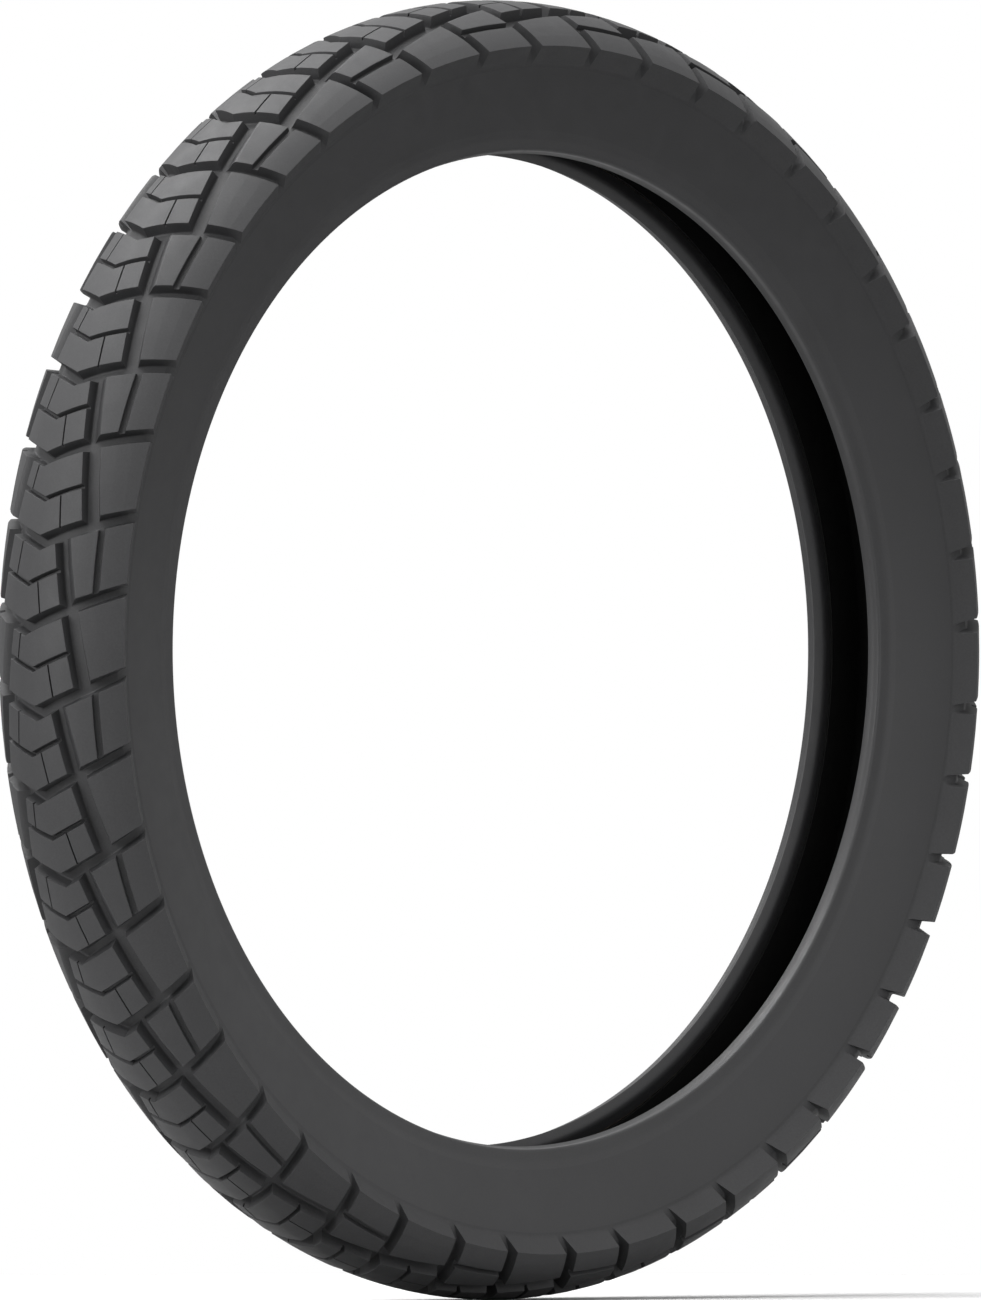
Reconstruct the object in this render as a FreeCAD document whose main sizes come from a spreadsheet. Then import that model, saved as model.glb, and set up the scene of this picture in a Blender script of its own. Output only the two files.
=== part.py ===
"""Motorcycle tire for a 21 inch rim, with a block tread, built up ply by ply.

The origin is the wheel centre. The wheel spins about +Y, +Z is up, and +X is the way it rolls,
so +Y is the left side. Each sub-part is an object of the document and a STEP file in parts/.
"""
import FreeCAD, Part
import math
import os

import Sketcher

DOCUMENT = FreeCAD.newDocument("motorcycle_tire")

# ---------------------------------------------------------------- driving dimensions (mm, degrees)
SIZES = [
    ("crown_radius", 346.5, "wheel centre to the top of the tread"),
    ("crown_arc", 56.0, "radius of the round crown across the tire"),
    ("shoulder_angle", 56.0, "crown centre line to the outer edge of the tread, about the crown arc"),
    ("side_face_drop", 9.5, "tread's outer edge to the foot of its side face, towards the wheel centre"),
    ("side_face_inset", 8.1, "tread's outer edge to that foot, towards the centre plane"),
    ("ground_round", 3.0, "radius that turns the groove floor down into the sidewall"),
    ("sidewall_bulge", 0.6, "rise of the sidewall's curve over its chord"),
    ("tread_depth", 6.75, "depth of the main grooves"),
    ("narrow_depth", 3.4, "depth of the groove across each centre block"),
    ("slot_depth", 3.0, "depth of the slot in each slotted shoulder block"),
    ("slot_inner", 37.0, "crown centre line to the near wall of that slot, along the crown"),
    ("slot_outer", 40.8, "crown centre line to the far wall of that slot, along the crown"),
    ("slit_depth", 1.8, "depth of the thin slit in each centre block"),
    ("slit_width", 0.9, "width of that slit"),
    ("wall_draft", 12.0, "slope of the groove walls"),
    ("repeats", 24, "repeats of the tread pattern round the wheel"),
    ("v_slope", 0.0635, "degrees round that a V line runs back for each millimetre across"),
    ("step_slope", 1.09, "millimetres across that a step line moves for each degree round"),
    ("cap_floor", 1.0, "tread cap rubber left under the grooves"),
    ("base_thickness", 1.0, "tread base rubber over the breakers"),
    ("base_edge_angle", 41.0, "crown centre line to the edge of the tread base"),
    ("breaker_thickness", 0.9, "one breaker ply"),
    ("breaker_outer_angle", 29.0, "crown centre line to the edge of the outer breaker"),
    ("breaker_inner_angle", 33.0, "crown centre line to the edge of the inner breaker"),
    ("casing_arc_inset", 10.0, "radius of the crown across the tire less that of the carcass"),
    ("casing_arc_angle", 40.0, "how far round the crown that radius goes"),
    ("casing_shoulder_arc", 15.0, "radius of the carcass at the shoulder"),
    ("cap_edge_angle", 84.0, "where the tread cap's edge meets the carcass, about the shoulder arc"),
    ("ply_thickness", 0.7, "one carcass ply"),
    ("liner_thickness", 1.2, "inner liner"),
    ("bead_seat_radius", 265.9, "cylindrical land that sits on the rim"),
    ("flange_width", 27.4, "centre plane to the face that meets the rim flange"),
    ("flange_face_height", 4.6, "height of that face above the land"),
    ("heel_round", 1.7, "radius of the bead heel"),
    ("seat_width", 4.8, "flange face to the inner edge of the land"),
    ("toe_drop", 1.3, "bead toe below the land"),
    ("toe_reach", 7.0, "flange face to the bead toe"),
    ("chafer_height", 11.1, "top of the chafer above the land, outside"),
    ("chafer_flare", 1.5, "top of the chafer outside the flange face"),
    ("chafer_thickness", 0.8, "chafer over the plies, under the bead"),
    ("toe_wrap_angle", 236.0, "where the chafer leaves the bead's round for the toe"),
    ("chafer_inner_height", 5.0, "height of the chafer above the bead, inside"),
    ("chafer_outer_height", 6.0, "height of the chafer above the bead, on the turned-up plies"),
    ("bead_wrap_radius", 2.3, "outside of the wrapped bead bundle, in section"),
    ("wrap_thickness", 0.3, "fabric wrap of the bead bundle"),
    ("wire_diameter", 0.78, "one bead wire"),
    ("bundle_inset", 5.1, "flange face to the middle of the bead bundle"),
    ("turn_up_spread", 11.9, "lean of the casing's side less the lean of the turned-up plies"),
    ("outer_turn_up", 19.0, "height of the outer ply's turned-up edge above the bead"),
    ("inner_turn_up", 15.0, "height of the inner ply's turned-up edge above the bead"),
    ("apex_height", 18.0, "height of the bead apex above the bead"),
]

SHEET = DOCUMENT.addObject("Spreadsheet::Sheet", "sizes")
SHEET.set("A1", "alias")
SHEET.set("B1", "value")
SHEET.set("C1", "meaning")
for row, (alias, value, meaning) in enumerate(SIZES, start=2):
    SHEET.set(f"A{row}", alias)
    SHEET.set(f"B{row}", str(value))
    SHEET.setAlias(f"B{row}", alias)
    SHEET.set(f"C{row}", meaning)
DOCUMENT.recompute()

# ------------------------------------------------------------------- lines that several pieces share
# A point of the half section is a pair of expressions: its distance from the wheel axis, and its
# distance from the centre plane. Angles turn from the outward radial direction to the side.
RULES = [
    ("crown_centre", "sizes.crown_radius - sizes.crown_arc"),
    ("edge_up", "rules.crown_centre + sizes.crown_arc * cos(sizes.shoulder_angle)"),
    ("edge_out", "sizes.crown_arc * sin(sizes.shoulder_angle)"),
    ("foot_up", "rules.edge_up - sizes.side_face_drop"),
    ("foot_out", "rules.edge_out - sizes.side_face_inset"),
    ("chafer_up", "sizes.bead_seat_radius + sizes.chafer_height"),
    ("chafer_out", "sizes.flange_width + sizes.chafer_flare"),
    ("side_chord", "sqrt((rules.foot_up - rules.chafer_up) ^ 2 + (rules.foot_out - rules.chafer_out) ^ 2)"),
    ("groove_floor_arc", "sizes.crown_arc - sizes.tread_depth"),
    ("base_arc", "rules.groove_floor_arc - sizes.cap_floor"),
    ("casing_radius", "rules.crown_centre + rules.base_arc - sizes.base_thickness"
                      " - 2 * sizes.breaker_thickness"),
    ("casing_arc", "sizes.crown_arc - sizes.casing_arc_inset"),
    ("casing_centre", "rules.casing_radius - rules.casing_arc"),
    ("shoulder_reach", "rules.casing_arc - sizes.casing_shoulder_arc"),
    ("shoulder_up", "rules.casing_centre + rules.shoulder_reach * cos(sizes.casing_arc_angle)"),
    ("shoulder_out", "rules.shoulder_reach * sin(sizes.casing_arc_angle)"),
    ("plies", "2 * sizes.ply_thickness"),
    ("bead_radius", "sizes.bead_seat_radius + sizes.chafer_thickness + rules.plies"
                    " + sizes.bead_wrap_radius"),
    ("bead_width", "sizes.flange_width - sizes.bundle_inset"),
    ("bead_down", "rules.shoulder_up - rules.bead_radius"),
    ("bead_out", "rules.bead_width - rules.shoulder_out"),
    ("bead_reach", "sqrt(rules.bead_down ^ 2 + rules.bead_out ^ 2)"),
    ("side_angle", "180 - atan(rules.bead_out / rules.bead_down) / 1deg"
                   " - acos((sizes.casing_shoulder_arc + sizes.bead_wrap_radius)"
                   " / rules.bead_reach) / 1deg"),
    ("turn_up_angle", "rules.side_angle - sizes.turn_up_spread"),
]

RULE_SET = DOCUMENT.addObject("App::VarSet", "rules")
for name, expression in RULES:
    RULE_SET.addProperty("App::PropertyFloat", name)
    RULE_SET.setExpression(name, expression)
    DOCUMENT.recompute()


def number(expression):
    """The value of an expression, as a plain number."""
    value = SHEET.evalExpression(str(expression))
    return float(getattr(value, "Value", value))


def around(centre_up, centre_out, radius, angle):
    """A point at a radius and an angle about a centre of the half section."""
    return (f"{centre_up} + ({radius}) * cos({angle})", f"{centre_out} + ({radius}) * sin({angle})")


def on_casing(depth, angle="sizes.casing_arc_angle"):
    """A point of the casing's crown, at a depth below the carcass's outer face."""
    return around("rules.casing_centre", "0", f"rules.casing_arc - ({depth})", angle)


def on_shoulder(depth, angle="rules.side_angle"):
    """A point of the casing's shoulder, at a depth below the carcass's outer face."""
    return around("rules.shoulder_up", "rules.shoulder_out",
                  f"sizes.casing_shoulder_arc - ({depth})", angle)


def on_bead(depth, angle):
    """A point round the wrapped bead, at a distance outside it."""
    return around("rules.bead_radius", "rules.bead_width", f"sizes.bead_wrap_radius + ({depth})", angle)


def along(point, distance, angle):
    """A point moved by a distance at an angle."""
    up, out = point
    return (f"{up} + ({distance}) * cos({angle})", f"{out} + ({distance}) * sin({angle})")


def on_side(depth, height):
    """A point of the casing's side, at a height above where it leaves the bead."""
    return along(on_bead(depth, "rules.side_angle + 180"), height, "rules.side_angle - 90")


def on_turn_up(depth, height):
    """A point of the turned-up plies, at a height above where they leave the bead."""
    return along(on_bead(depth, "rules.turn_up_angle"), height, "rules.turn_up_angle - 90")


def on_tread(arc, angle):
    """A point at a radius and an angle about the crown's centre."""
    return around("rules.crown_centre", "0", arc, angle)


# ------------------------------------------------------------------------------ sketches and bodies
def origin_feature(body, role):
    """The axis or plane of a body's origin that has a role."""
    for feature in body.Origin.OriginFeatures:
        if feature.Role == role:
            return feature
    raise RuntimeError(f"{body.Label} has no {role}")


def arc_between(start, end, radius, turn):
    """The arc under half a turn from start to end; turn is 1 to bend left and -1 to bend right."""
    chord = end - start
    half = chord.Length / 2
    rise = math.sqrt(max(radius * radius - half * half, 0.0))
    left = FreeCAD.Vector(-chord.y, chord.x, 0).normalize()
    centre = start + chord / 2 + left * rise * turn
    ends = [math.atan2(point.y - centre.y, point.x - centre.x) for point in (start, end)]
    if turn < 0:
        ends.reverse()
    circle = Part.Circle(centre, FreeCAD.Vector(0, 0, 1), radius)
    return Part.ArcOfCircle(circle, ends[0], ends[1])


def outline_sketch(body, outline):
    """A sketch of a closed outline in the half section.

    Each entry is a point, and then nothing for a straight edge to the next point, or a radius
    expression and a turn for an arc.
    """
    sketch = body.newObject("Sketcher::SketchObject", f"{body.Name}_outline")
    sketch.AttachmentSupport = [(origin_feature(body, "YZ_Plane"), "")]
    sketch.MapMode = "FlatFace"
    corners = [FreeCAD.Vector(number(point[1]), number(point[0]), 0) for point, *bend in outline]
    starts = []
    ends = []
    for index, (point, *bend) in enumerate(outline):
        start = corners[index]
        end = corners[(index + 1) % len(corners)]
        if bend:
            radius, turn = bend
            edge = sketch.addGeometry(arc_between(start, end, number(radius), turn))
            sketch.addConstraint(Sketcher.Constraint("Radius", edge, number(radius)))
            sketch.setExpression(f"Constraints[{sketch.ConstraintCount - 1}]", radius)
            starts.append((edge, 1 if turn > 0 else 2))
            ends.append((edge, 2 if turn > 0 else 1))
        else:
            edge = sketch.addGeometry(Part.LineSegment(start, end))
            starts.append((edge, 1))
            ends.append((edge, 2))
    for index, (point, *bend) in enumerate(outline):
        sketch.addConstraint(Sketcher.Constraint("Coincident", *ends[index - 1], *starts[index]))
        for kind, expression in (("DistanceX", point[1]), ("DistanceY", point[0])):
            sketch.addConstraint(Sketcher.Constraint(kind, -1, 1, *starts[index], number(expression)))
            sketch.setExpression(f"Constraints[{sketch.ConstraintCount - 1}]", expression)
    return sketch


def ring(name, outline, both_sides=False, right_side=False):
    """A body turned from an outline about the wheel's axis."""
    body = DOCUMENT.addObject("PartDesign::Body", name)
    body.Label = name
    sketch = outline_sketch(body, outline)
    turned = body.newObject("PartDesign::Revolution", f"{name}_turned")
    turned.Profile = sketch
    turned.ReferenceAxis = (sketch, ["H_Axis"])
    turned.Angle = 360.0
    if both_sides:
        mirrored = body.newObject("PartDesign::Mirrored", f"{name}_mirrored")
        mirrored.Originals = [turned]
        mirrored.MirrorPlane = (origin_feature(body, "XZ_Plane"), [""])
        body.Tip = mirrored
    if right_side:
        body.Placement = FreeCAD.Placement(FreeCAD.Vector(), FreeCAD.Rotation(FreeCAD.Vector(0, 0, 1), 180))
    return body


# -------------------------------------------------------------------------------- plies and rubber
def carcass_ply(name, outer_depth, inner_depth, turn_up):
    """A cord ply that runs from bead to bead and turns up round both."""
    def path(depth):
        return [
            (on_casing(depth, 0), f"rules.casing_arc - ({depth})"),
            (on_casing(depth), f"sizes.casing_shoulder_arc - ({depth})"),
            (on_shoulder(depth),),
            (on_bead(depth, "rules.side_angle + 180"), f"sizes.bead_wrap_radius + ({depth})"),
            (on_bead(depth, 180), f"sizes.bead_wrap_radius + ({depth})"),
            (on_bead(depth, "rules.turn_up_angle"),),
            (on_turn_up(depth, turn_up),),
        ]
    turns = [-1, -1, 0, 1, 1, 0, 0]
    outer = path(outer_depth)
    inner = path(inner_depth)
    outline = []
    for corner, turn in zip(outer, turns):
        outline.append((corner[0], corner[1], turn) if turn else (corner[0],))
    # The way back starts at the turned-up edge, and each edge now leads to the corner before it.
    for index in range(len(inner) - 1, -1, -1):
        turn = -turns[index - 1] if index else 0
        outline.append((inner[index][0], inner[index - 1][1], turn) if turn else (inner[index][0],))
    return ring(name, outline, both_sides=True)


def inner_liner():
    """The air-tight skin inside the carcass."""
    top = "rules.plies"
    under = "rules.plies + sizes.liner_thickness"
    edge = "sizes.chafer_inner_height + sizes.liner_thickness"
    return ring("inner_liner", [
        (on_casing(top, 0), f"rules.casing_arc - ({top})", -1),
        (on_casing(top), f"sizes.casing_shoulder_arc - ({top})", -1),
        (on_shoulder(top),),
        (on_side(top, edge),),
        (on_side(under, edge),),
        (on_shoulder(under), f"sizes.casing_shoulder_arc - ({under})", 1),
        (on_casing(under), f"rules.casing_arc - ({under})", 1),
        (on_casing(under, 0),),
    ], both_sides=True)


def breaker(name, outer_depth, inner_depth, edge_angle):
    """A cord ply under the tread only."""
    return ring(name, [
        (on_casing(outer_depth, 0), f"rules.casing_arc - ({outer_depth})", -1),
        (on_casing(outer_depth, edge_angle),),
        (on_casing(inner_depth, edge_angle), f"rules.casing_arc - ({inner_depth})", 1),
        (on_casing(inner_depth, 0),),
    ], both_sides=True)


def tread_base():
    """The cushion of softer rubber between the breakers and the tread cap."""
    outer = "-2 * sizes.breaker_thickness"
    middle = "-sizes.breaker_thickness"
    return ring("tread_base", [
        (on_tread("rules.base_arc", 0), "rules.base_arc", -1),
        (on_tread("rules.base_arc", "sizes.base_edge_angle"),),
        (on_casing(0), "rules.casing_arc", 1),
        (on_casing(0, "sizes.breaker_inner_angle"),),
        (on_casing(middle, "sizes.breaker_inner_angle"), f"rules.casing_arc - ({middle})", 1),
        (on_casing(middle, "sizes.breaker_outer_angle"),),
        (on_casing(outer, "sizes.breaker_outer_angle"), f"rules.casing_arc - ({outer})", 1),
        (on_casing(outer, 0),),
    ], both_sides=True)


def sidewall(name, right_side):
    """The smooth outer rubber from the tread's side face down to the chafer."""
    bulge_radius = "rules.side_chord ^ 2 / (8 * sizes.sidewall_bulge) + sizes.sidewall_bulge / 2"
    return ring(name, [
        (("rules.foot_up", "rules.foot_out"), bulge_radius, -1),
        (("rules.chafer_up", "rules.chafer_out"),),
        (on_turn_up("rules.plies", "sizes.chafer_outer_height"),),
        (on_turn_up("rules.plies", "sizes.inner_turn_up"),),
        (on_turn_up("sizes.ply_thickness", "sizes.inner_turn_up"),),
        (on_turn_up("sizes.ply_thickness", "sizes.outer_turn_up"),),
        (on_turn_up(0, "sizes.outer_turn_up"),),
        (on_side(0, "sizes.apex_height"),),
        (on_shoulder(0), "sizes.casing_shoulder_arc", 1),
        (on_shoulder(0, "sizes.cap_edge_angle"),),
    ], right_side=right_side)


# --------------------------------------------------------------------------------------- the beads
def apex(name, right_side):
    """The hard rubber wedge on top of the bead."""
    return ring(name, [
        (on_bead(0, "rules.side_angle + 180"),),
        (on_side(0, "sizes.apex_height"),),
        (on_turn_up(0, "sizes.outer_turn_up"),),
        (on_bead(0, "rules.turn_up_angle"), "sizes.bead_wrap_radius", -1),
        (on_bead(0, 0), "sizes.bead_wrap_radius", -1),
    ], right_side=right_side)


def bead_wrap(name, right_side):
    """The square-woven tape round the bead wires."""
    body = DOCUMENT.addObject("PartDesign::Body", name)
    body.Label = name
    sketch = body.newObject("Sketcher::SketchObject", f"{name}_outline")
    sketch.AttachmentSupport = [(origin_feature(body, "YZ_Plane"), "")]
    sketch.MapMode = "FlatFace"
    centre = FreeCAD.Vector(number("rules.bead_width"), number("rules.bead_radius"), 0)
    for radius in ("sizes.bead_wrap_radius", "sizes.bead_wrap_radius - sizes.wrap_thickness"):
        circle = Part.Circle(centre, FreeCAD.Vector(0, 0, 1), number(radius))
        edge = sketch.addGeometry(circle)
        for kind, first, expression in (
            ("Radius", (edge,), radius),
            ("DistanceX", (-1, 1, edge, 3), "rules.bead_width"),
            ("DistanceY", (-1, 1, edge, 3), "rules.bead_radius"),
        ):
            sketch.addConstraint(Sketcher.Constraint(kind, *first, number(expression)))
            sketch.setExpression(f"Constraints[{sketch.ConstraintCount - 1}]", expression)
    turned = body.newObject("PartDesign::Revolution", f"{name}_turned")
    turned.Profile = sketch
    turned.ReferenceAxis = (sketch, ["H_Axis"])
    turned.Angle = 360.0
    if right_side:
        body.Placement = FreeCAD.Placement(FreeCAD.Vector(), FreeCAD.Rotation(FreeCAD.Vector(0, 0, 1), 180))
    return body


def bead_core(name, right_side):
    """Nineteen bead wires packed in a hexagon and insulated together, as one ring."""
    pitch = 0.96
    bulge = math.sqrt(1 - pitch * pitch) / 2
    outline = []
    for side in range(6):
        corner_angle = math.radians(60 * side)
        next_angle = math.radians(60 * side + 60)
        corner = FreeCAD.Vector(math.cos(corner_angle), math.sin(corner_angle), 0) * 2 * pitch
        following = FreeCAD.Vector(math.cos(next_angle), math.sin(next_angle), 0) * 2 * pitch
        outward = (corner + following).normalize()
        for share in (0.25, 0.75):
            valley = corner * (1 - share) + following * share + outward * bulge
            outline.append(((f"rules.bead_radius + {valley.x:.6f} * sizes.wire_diameter",
                             f"rules.bead_width + {valley.y:.6f} * sizes.wire_diameter"),
                            "sizes.wire_diameter / 2", -1))
    return ring(name, outline, right_side=right_side)


def chafer(name, right_side):
    """The hard strip that wraps the bead from inside to outside and meets the rim."""
    plies = "rules.plies"
    cover = "rules.plies + sizes.chafer_thickness"
    return ring(name, [
        (on_side(plies, "sizes.chafer_inner_height"),),
        (on_bead(plies, "rules.side_angle + 180"), f"sizes.bead_wrap_radius + {plies}", 1),
        (on_bead(plies, 180), f"sizes.bead_wrap_radius + {plies}", 1),
        (on_bead(plies, "rules.turn_up_angle"),),
        (on_turn_up(plies, "sizes.chafer_outer_height"),),
        (("rules.chafer_up", "rules.chafer_out"),),
        (("sizes.bead_seat_radius + sizes.flange_face_height", "sizes.flange_width"),),
        (("sizes.bead_seat_radius + sizes.heel_round", "sizes.flange_width"), "sizes.heel_round", -1),
        (("sizes.bead_seat_radius", "sizes.flange_width - sizes.heel_round"),),
        (("sizes.bead_seat_radius", "sizes.flange_width - sizes.seat_width"),),
        (("sizes.bead_seat_radius - sizes.toe_drop", "sizes.flange_width - sizes.toe_reach"),),
        (on_bead(cover, "sizes.toe_wrap_angle"), f"sizes.bead_wrap_radius + {cover}", -1),
        (on_side(cover, 0),),
        (on_side(cover, "sizes.chafer_inner_height"),),
    ], right_side=right_side)


# --------------------------------------------------------------------------------------- the tread
# A place on the tread is (across, round): millimetres along the crown from its centre line towards
# the right side, and degrees round the wheel from +X towards +Z.
# Two rows of blocks repeat round the wheel. The second is the first turned over to the other side,
# half a repeat further round. V lines cross the whole tread and part the rows. On each side a wide
# groove runs round in slanted steps, one to a repeat, between the centre and the shoulder blocks.
V_TOP = (3.7, 6.27)              # tips of the first row's V lines
V_NARROW_TOP = (-2.6, 8.95)
V_NARROW_BOTTOM = (-2.4, 9.45)
V_BOTTOM = (-3.0, 12.4)
STEP_INNER = (13.5, 5.7)         # a place on the centre blocks' edge, right side, first row
STEP_OUTER = (22.8, 4.9)         # a place on the shoulder blocks' edge, right side, first row
BEYOND_SHOULDER = 62.0           # across, past the tread's outer edge
FIRST_ROW_SLITS = [((-10.0, 5.2), (-13.5, 9.1)), ((4.7, 9.2), (7.8, 12.6))]
SECOND_ROW_SLITS = [((-6.7, 13.2), (-9.6, 16.7)), ((12.5, 16.1), (15.9, 20.0))]
BLOCK_SINK = 0.3                 # how far a block reaches into the floor that carries it
FOOT_GAP = 1.0                   # where the blocks' side faces run into the sidewall, above the foot
FOOT_SINK = 0.5                  # how far they carry on inside it
SINK_ANGLE = 48.0                # where a block's underside leaves the groove floor for the foot
ABOVE_CROWN = 2.0
CENTRE_REACH = 12.0              # depth of the prisms that blocks are cut with
SHOULDER_REACH = 16.0
AXLE = FreeCAD.Vector(0, 1, 0)


def tread_point(across, round_angle, height=0.0):
    """The point of the crown at a place, raised by a height."""
    arc = number("sizes.crown_arc")
    lean = across / arc
    up = number("rules.crown_centre") + (arc + height) * math.cos(lean)
    out = (arc + height) * math.sin(lean)
    turn = math.radians(round_angle)
    return FreeCAD.Vector(up * math.cos(turn), -out, up * math.sin(turn))


def tread_normal(across, round_angle):
    """The outward direction at a place."""
    return (tread_point(across, round_angle, 1.0) - tread_point(across, round_angle)).normalize()


def where_planes_meet(planes):
    """The point that three (point, normal) planes share."""
    normals = [normal for _, normal in planes]
    total = FreeCAD.Vector()
    for index, (point, normal) in enumerate(planes):
        total += normals[(index + 1) % 3].cross(normals[(index + 2) % 3]) * point.dot(normal)
    return total / normals[0].dot(normals[1].cross(normals[2]))


def prism(corners, depth, drafts):
    """A closed solid with flat sides through a convex outline of places.

    It reaches from a depth under the middle of the outline to above the crown. Each side leans
    outwards with depth by its own draft, in degrees.
    """
    count = len(corners)
    middle_place = [sum(values) / count for values in zip(*corners)]
    middle = tread_point(*middle_place)
    normal = tread_normal(*middle_place)
    sides = []
    for index, start in enumerate(corners):
        end = corners[(index + 1) % count]
        first = tread_point(*start)
        up = tread_normal((start[0] + end[0]) / 2, (start[1] + end[1]) / 2)
        outward = (tread_point(*end) - first).cross(up).normalize()
        if outward.dot(middle - first) > 0:
            outward = outward * -1
        draft = math.radians(drafts[index])
        sides.append((first, outward * math.cos(draft) + up * math.sin(draft)))
    levels = []
    for height in (-depth, ABOVE_CROWN):
        level = (middle + normal * height, normal)
        ring_of_points = [where_planes_meet([sides[i - 1], sides[i], level]) for i in range(count)]
        levels.append(ring_of_points)
    bottom, top = levels
    loops = [bottom + bottom[:1], top + top[:1]]
    for index in range(count):
        after = (index + 1) % count
        loops.append([bottom[index], bottom[after], top[after], top[index], bottom[index]])
    solid = Part.Solid(Part.Shell([Part.Face(Part.makePolygon(loop)) for loop in loops]))
    if solid.Volume < 0:
        solid.reverse()
    return solid


def crossing(tip, side, step):
    """Where a V line's arm meets the step line on its side: 1 is the right and -1 is the left.

    The left step line is the right one turned over and moved on by half a repeat.
    """
    tip_across, tip_round = tip
    step_across, step_round = step
    v_slope = number("sizes.v_slope")
    step_slope = number("sizes.step_slope")
    if side < 0:
        step_round -= 180 / number("sizes.repeats")
    reach = step_across + step_slope * (tip_round + v_slope * side * tip_across - step_round)
    across = side * reach / (1 + step_slope * v_slope)
    return (across, tip_round - v_slope * side * (across - tip_across))


def v_place(tip, across):
    """The place on a V line at a distance across."""
    return (across, tip[1] - number("sizes.v_slope") * abs(across - tip[0]))


def turned(outline):
    """A closed outline of the half section, turned round the wheel's axis into a solid.

    Each entry is a (distance from the axis, distance from the centre plane), and for an arc a
    second such point that the edge to the next entry passes through.
    """
    edges = []
    for index, (corner, *through) in enumerate(outline):
        following = outline[(index + 1) % len(outline)][0]
        places = [FreeCAD.Vector(0, out, up) for up, out in (corner, *through, following)]
        edge = Part.Arc(*places) if through else Part.LineSegment(*places)
        edges.append(edge.toShape())
    return Part.Face(Part.Wire(edges)).revolve(FreeCAD.Vector(), AXLE, 360)


def crown_place(arc, angle):
    """A point of the half section at a radius and an angle about the crown's centre."""
    return tuple(number(part) for part in on_tread(arc, angle))


def side_directions():
    """Up along the sidewall from the foot of the tread's side face, and outwards from it."""
    rise = number("rules.foot_up - rules.chafer_up")
    up = FreeCAD.Vector(rise, number("rules.foot_out - rules.chafer_out"), 0).normalize()
    return up, FreeCAD.Vector(-up.y, up.x, 0)


def ground_turn():
    """Where the groove floor turns down into the sidewall's line: start, middle and end of the turn."""
    up, outward = side_directions()
    foot = FreeCAD.Vector(number("rules.foot_up"), number("rules.foot_out"), 0)
    crown = FreeCAD.Vector(number("rules.crown_centre"), 0, 0)
    radius = number("sizes.ground_round")
    floor = number("rules.groove_floor_arc")
    start = foot - outward * radius - crown
    along_up = start.dot(up)
    height = -along_up + math.sqrt(along_up ** 2 - start.dot(start) + (floor - radius) ** 2)
    towards = (start + up * height).normalize()
    middle = (towards + outward).normalize()
    centre = crown + towards * (floor - radius)
    return [(point.x, point.y) for point in
            (crown + towards * floor, centre + middle * radius, centre + outward * radius)]


def flipped(place):
    """The same place on the other side of the centre plane."""
    return (place[0], -place[1])


def crown_band(low_arc, high_arc):
    """The rubber between two radii about the crown's centre, out to the tread's side faces."""
    edge = FreeCAD.Vector(*crown_place(high_arc, "sizes.shoulder_angle"), 0)
    foot = FreeCAD.Vector(number("rules.foot_up"), number("rules.foot_out"), 0)
    meeting = foot + side_directions()[0] * FOOT_GAP
    sunk = meeting + (meeting - edge).normalize() * FOOT_SINK
    high, side, low = [(edge.x, edge.y), (sunk.x, sunk.y), crown_place(low_arc, SINK_ANGLE)]
    return turned([
        (flipped(high), crown_place(high_arc, 0)),
        (high,),
        (side,),
        (low, crown_place(low_arc, 0)),
        (flipped(low),),
        (flipped(side),),
    ])


def centre_part(top, bottom, band):
    """The two arms of a centre block between two V lines, trimmed to a band."""
    draft = number("sizes.wall_draft")
    arms = []
    for side in (1, -1):
        corners = [top, crossing(top, side, STEP_INNER), crossing(bottom, side, STEP_INNER), bottom]
        arms.append(prism(corners, CENTRE_REACH, [draft, draft, draft, 0]).common(band))
    return arms


def shoulder_block(side, band):
    """The shoulder block of the first row on one side."""
    draft = number("sizes.wall_draft")
    edge = BEYOND_SHOULDER * side
    corners = [crossing(V_TOP, side, STEP_OUTER), v_place(V_TOP, edge),
               v_place(V_BOTTOM, edge), crossing(V_BOTTOM, side, STEP_OUTER)]
    return prism(corners, SHOULDER_REACH, [draft, 0, draft, draft]).common(band)


def shoulder_slot():
    """The slot that runs round the slotted shoulder blocks, on the right side."""
    arc = number("sizes.crown_arc")
    radii = (arc - number("sizes.slot_depth"), arc + ABOVE_CROWN)
    inner, outer = [math.degrees(number(f"sizes.slot_{edge}") / arc) for edge in ("inner", "outer")]
    places = [crown_place(radii[0], inner), crown_place(radii[1], inner),
              crown_place(radii[1], outer), crown_place(radii[0], outer)]
    return turned([(flipped(place),) for place in places])


def slit(ends):
    """The thin slit between two places."""
    half = number("sizes.slit_width") / 2
    (start, start_round), (end, end_round) = ends
    corners = [(start - half, start_round), (start + half, start_round),
               (end + half, end_round), (end - half, end_round)]
    return prism(corners, number("sizes.slit_depth"), [0, 0, 0, 0])


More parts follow.
